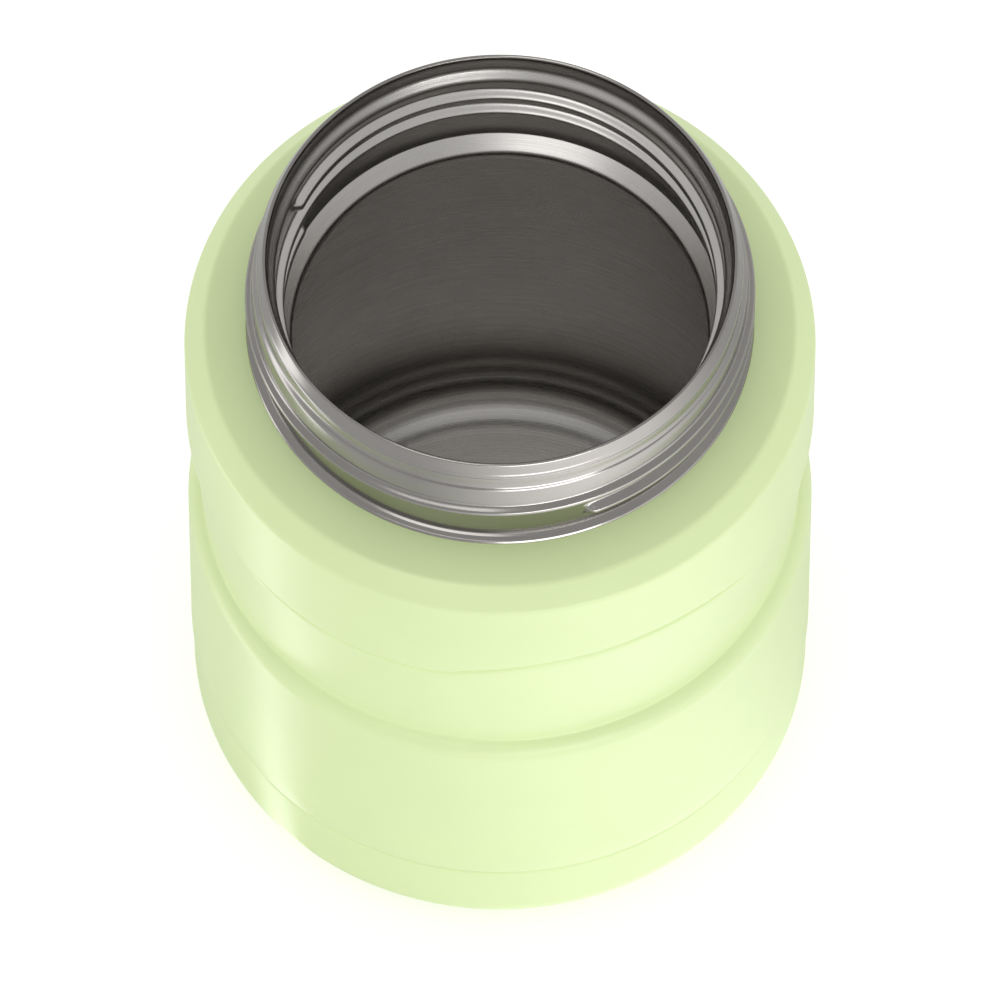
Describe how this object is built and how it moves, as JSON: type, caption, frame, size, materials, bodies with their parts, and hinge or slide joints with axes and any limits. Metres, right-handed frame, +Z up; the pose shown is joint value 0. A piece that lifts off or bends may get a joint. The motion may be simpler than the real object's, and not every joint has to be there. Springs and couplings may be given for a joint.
{
  "type": "insulated food jar",
  "caption": "Open double-walled steel food jar: satin pale green barrel with a recessed band and arched badge panel, bare steel screw neck and liner, painted base cup.",
  "frame": {"origin": "centre of the underside, on the surface that the jar stands on", "axes": "+Z up along the jar's axis, -Y towards the front, +X to the right as seen from the front"},
  "size_m": [0.095, 0.095, 0.1223],
  "materials": {
    "paint": "satin pale green enamel",
    "collar_steel": "turned steel, fine lines round the axis",
    "liner_steel": "turned steel, half bright",
    "plain_steel": "pressed sheet, dull",
    "solder": "cast bead, dull grey",
    "getter_alloy": "sintered, matt",
    "copper_foil": "bright copper foil"
  },
  "bodies": {
    "root": {"outer_shell": "paint", "base_cup": "paint", "neck_collar": "collar_steel", "liner": "liner_steel", "liner_bottom": "liner_steel", "shell_bottom": "plain_steel", "vacuum_seal": "solder", "getter": "getter_alloy", "getter_clip": "plain_steel", "foil_wrap": "copper_foil", "foil_disc": "copper_foil"}
  },
  "joints": []
}
